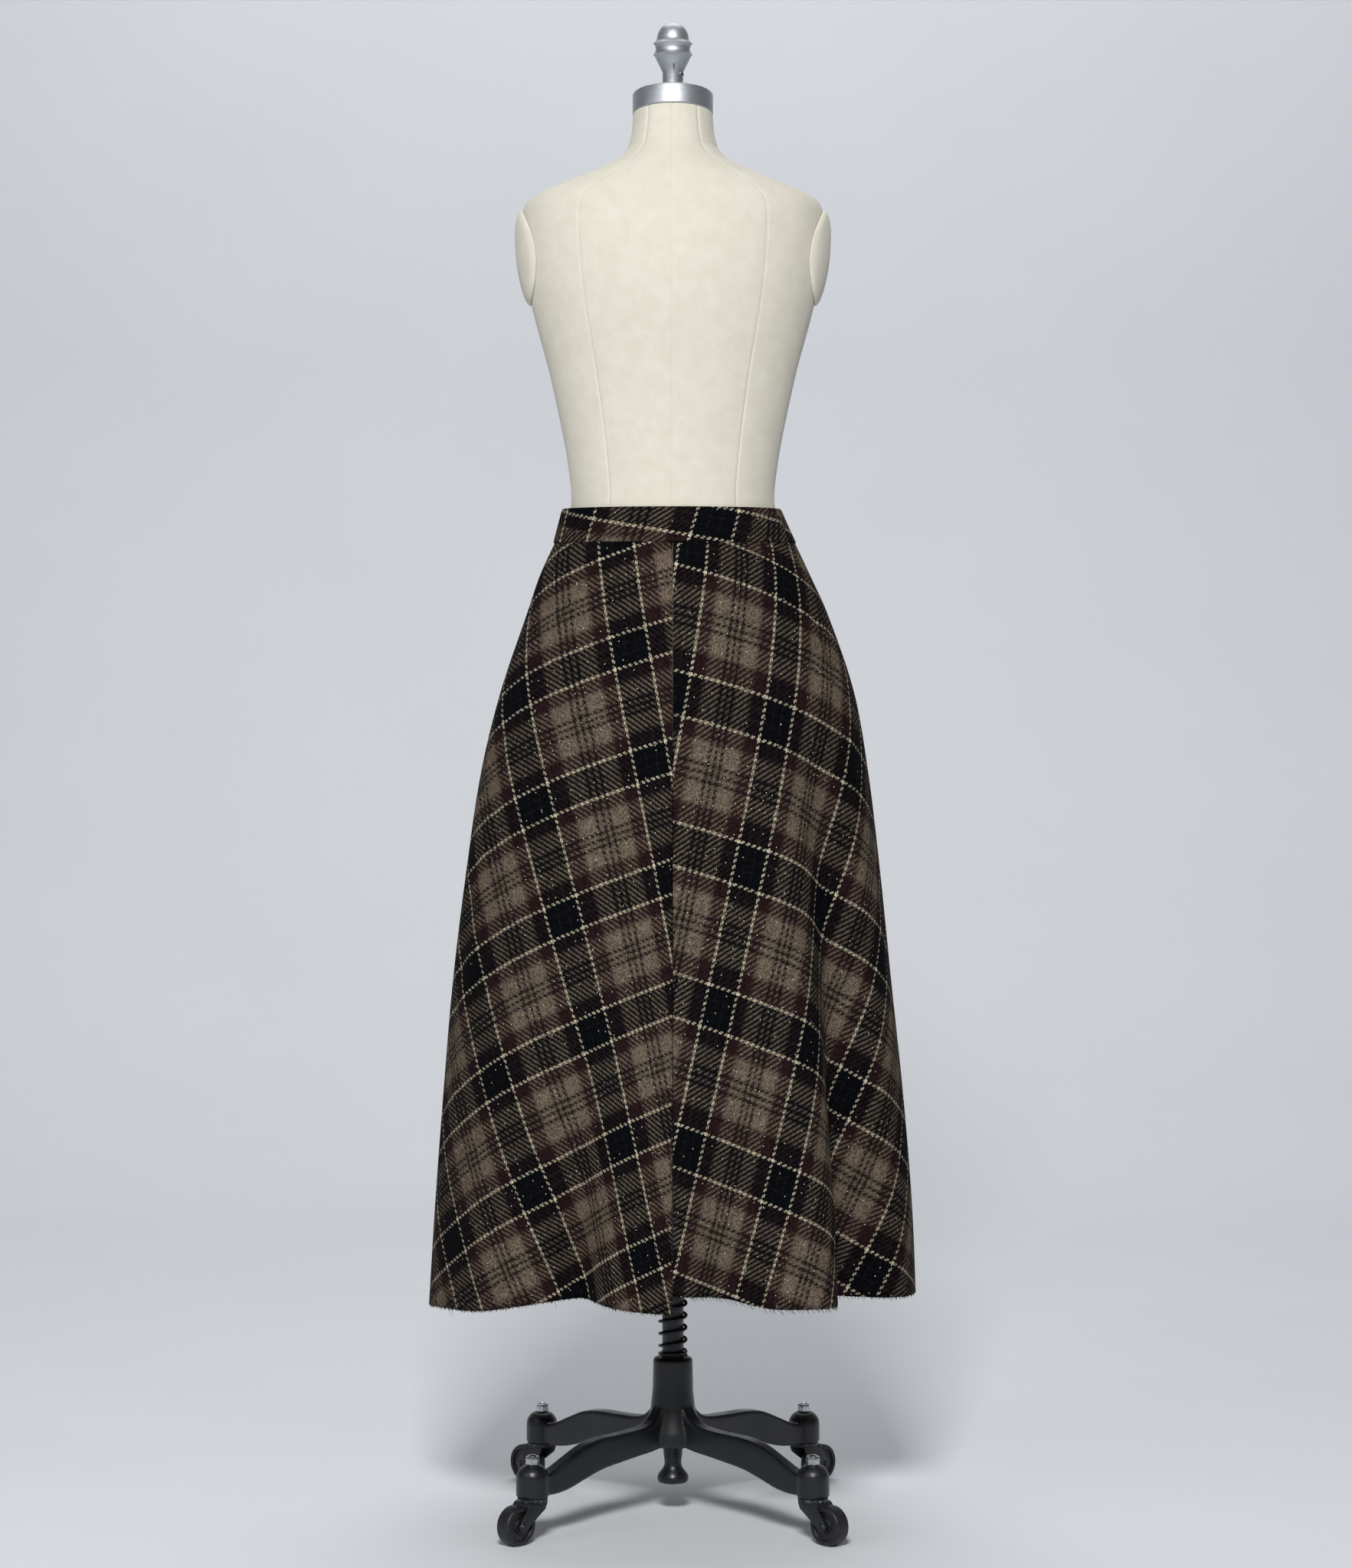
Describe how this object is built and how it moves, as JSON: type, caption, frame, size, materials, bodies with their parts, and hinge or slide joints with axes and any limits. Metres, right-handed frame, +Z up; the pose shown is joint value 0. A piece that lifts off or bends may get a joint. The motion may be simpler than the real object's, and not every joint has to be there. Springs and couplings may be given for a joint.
{
  "type": "circle skirt on a dress form",
  "caption": "Flared plaid wool skirt with a waistband and a raw hem, on a limbless canvas dress form with a sprung pole and a rolling iron stand.",
  "frame": {"origin": "on the floor under the pole, in the middle of the object's footprint", "axes": "+Z up; -Y is the side with the skirt's seam, the back of the form; +X is the right of that view"},
  "size_m": [0.5585, 0.4834, 1.7056],
  "materials": {
    "wool_plaid": "napped wool twill in a taupe, black and dark plum plaid with ivory lines",
    "form_canvas": "smooth cream linen canvas",
    "brushed_aluminium": "brushed",
    "black_iron": "worn black enamel",
    "black_steel": "black enamel",
    "chrome": "polished",
    "black_wheel": "hard rubber, worn"
  },
  "bodies": {
    "base": {"base_casting": "black_iron", "pole_spring": "black_steel", "caster_nut_front_right": "chrome", "caster_nut_front_left": "chrome", "caster_nut_back_left": "chrome", "caster_nut_back_right": "chrome"},
    "pole": {"pole": "black_steel", "pole_foot": "black_iron", "spring_collar": "black_steel"},
    "form": {"form_torso": "form_canvas", "arm_plate_left": "form_canvas", "arm_plate_right": "form_canvas", "neck_cap": "brushed_aluminium", "finial": "brushed_aluminium", "finial_screw": "chrome", "skirt_body": "wool_plaid", "waistband": "wool_plaid", "hem_fray": "wool_plaid"},
    "caster_front_right": {"caster_fork_front_right": "black_steel"},
    "wheel_front_right": {"caster_wheel_front_right": "black_wheel"},
    "caster_front_left": {"caster_fork_front_left": "black_steel"},
    "wheel_front_left": {"caster_wheel_front_left": "black_wheel"},
    "caster_back_left": {"caster_fork_back_left": "black_steel"},
    "wheel_back_left": {"caster_wheel_back_left": "black_wheel"},
    "caster_back_right": {"caster_fork_back_right": "black_steel"},
    "wheel_back_right": {"caster_wheel_back_right": "black_wheel"}
  },
  "joints": [
    {"name": "pole_lift", "type": "slide", "parent": "base", "child": "pole", "axis": [0, 0, 1], "range_m": [0, 0.025]},
    {"name": "form_turn", "type": "hinge", "parent": "pole", "child": "form", "pos_m": [0, 0, 0.885], "axis": [0, 0, 1], "continuous": true},
    {"name": "swivel_front_right", "type": "hinge", "parent": "base", "child": "caster_front_right", "pos_m": [0.15599, 0.15599, 0.0502], "axis": [0, 0, 1], "continuous": true},
    {"name": "roll_front_right", "type": "hinge", "parent": "caster_front_right", "child": "wheel_front_right", "pos_m": [0.17367, 0.17367, 0.022], "axis": [-0.7071, 0.7071, 0], "continuous": true},
    {"name": "swivel_front_left", "type": "hinge", "parent": "base", "child": "caster_front_left", "pos_m": [-0.15599, 0.15599, 0.0502], "axis": [0, 0, 1], "continuous": true},
    {"name": "roll_front_left", "type": "hinge", "parent": "caster_front_left", "child": "wheel_front_left", "pos_m": [-0.17367, 0.17367, 0.022], "axis": [-0.7071, -0.7071, 0], "continuous": true},
    {"name": "swivel_back_left", "type": "hinge", "parent": "base", "child": "caster_back_left", "pos_m": [-0.15599, -0.15599, 0.0502], "axis": [0, 0, 1], "continuous": true},
    {"name": "roll_back_left", "type": "hinge", "parent": "caster_back_left", "child": "wheel_back_left", "pos_m": [-0.17367, -0.17367, 0.022], "axis": [0.7071, -0.7071, 0], "continuous": true},
    {"name": "swivel_back_right", "type": "hinge", "parent": "base", "child": "caster_back_right", "pos_m": [0.15599, -0.15599, 0.0502], "axis": [0, 0, 1], "continuous": true},
    {"name": "roll_back_right", "type": "hinge", "parent": "caster_back_right", "child": "wheel_back_right", "pos_m": [0.17367, -0.17367, 0.022], "axis": [0.7071, 0.7071, 0], "continuous": true}
  ]
}
